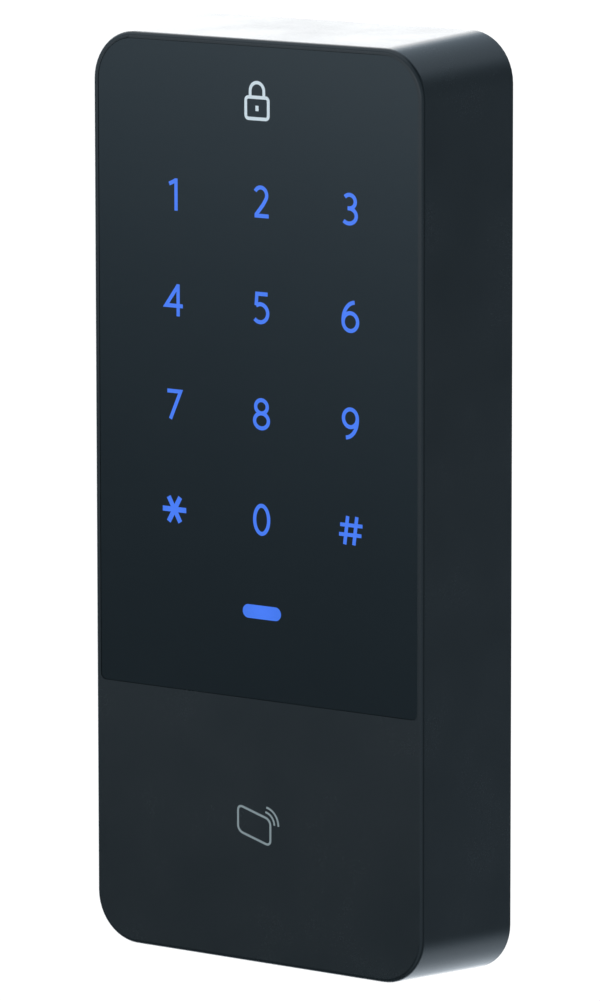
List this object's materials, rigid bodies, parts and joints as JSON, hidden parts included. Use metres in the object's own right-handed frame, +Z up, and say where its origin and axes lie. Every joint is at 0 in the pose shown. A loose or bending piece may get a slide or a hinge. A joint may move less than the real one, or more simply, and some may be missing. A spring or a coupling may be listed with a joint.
{
  "type": "keypad access reader",
  "caption": "Slim upright wall reader with a glossy touch keypad panel, a status bar and a plain card area below, on a steel wall bracket.",
  "frame": {"origin": "middle of the wall bracket's back face, on the wall plane, halfway up the case", "axes": "+Y points into the wall, so the front face looks along -Y; +Z is up; +X is to the right of somebody facing the reader"},
  "size_m": [0.0778, 0.0276, 0.1738],
  "materials": {
    "case_plastic": "satin black moulding, fine grain",
    "panel_gloss": "polished black, dark tint",
    "cover_plastic": "matt black moulding",
    "adhesive_foam": "thin black foam tape",
    "film": "printed clear film",
    "baffle_plastic": "white moulding",
    "light_pipe": "clear moulding, lit blue",
    "led": "white package",
    "circuit_board": "green solder mask on glass epoxy",
    "chip": "black moulding compound",
    "connector_plastic": "black moulding",
    "header_plastic": "natural nylon",
    "ferrite": "dark grey, dull",
    "copper": "bare copper",
    "can_aluminium": "drawn can",
    "rubber": "black silicone",
    "plunger_plastic": "natural acetal",
    "screw_steel": "zinc plated",
    "bracket_steel": "zinc plated sheet"
  },
  "bodies": {
    "reader": {"antenna_board": "circuit_board", "antenna_coil": "copper", "antenna_header": "connector_plastic", "board_header": "connector_plastic", "board_socket": "connector_plastic", "buzzer": "connector_plastic", "cable_grommet": "rubber", "card_reader_chip": "chip", "clock_crystal": "screw_steel", "ferrite_sheet": "ferrite", "front_housing": "case_plastic", "indicator_led_1": "led", "indicator_led_2": "led", "indicator_light_pipe": "light_pipe", "key_led_0": "led", "key_led_1": "led", "key_led_2": "led", "key_led_3": "led", "key_led_4": "led", "key_led_5": "led", "key_led_6": "led", "key_led_7": "led", "key_led_8": "led", "key_led_9": "led", "key_led_hash": "led", "key_led_star": "led", "keypad_board": "circuit_board", "keypad_board_screw_1": "screw_steel", "keypad_board_screw_2": "screw_steel", "keypad_board_screw_3": "screw_steel", "keypad_board_screw_4": "screw_steel", "light_baffle": "baffle_plastic", "line_driver": "chip", "lock_screw": "screw_steel", "main_board": "circuit_board", "main_board_screw_1": "screw_steel", "main_board_screw_2": "screw_steel", "main_board_screw_3": "screw_steel", "main_board_screw_4": "screw_steel", "panel_adhesive": "adhesive_foam", "power_capacitor": "can_aluminium", "power_inductor": "ferrite", "processor": "chip", "rear_cover": "cover_plastic", "rear_gasket": "rubber", "rear_screw_1": "screw_steel", "rear_screw_2": "screw_steel", "rear_screw_3": "screw_steel", "rear_screw_4": "screw_steel", "rear_screw_5": "screw_steel", "rear_screw_6": "screw_steel", "tamper_spring": "screw_steel", "tamper_switch": "connector_plastic", "touch_controller": "chip", "touch_film": "film", "touch_panel": "panel_gloss", "wall_bracket": "bracket_steel", "wiring_header": "header_plastic"},
    "plunger": {"tamper_plunger": "plunger_plastic"}
  },
  "joints": [
    {"name": "tamper_plunger_slide", "type": "slide", "parent": "reader", "child": "plunger", "axis": [0, -1, 0], "range_m": [0, 0.0015], "stiffness_N_per_m": 200, "deforming": ["tamper_spring"]}
  ]
}
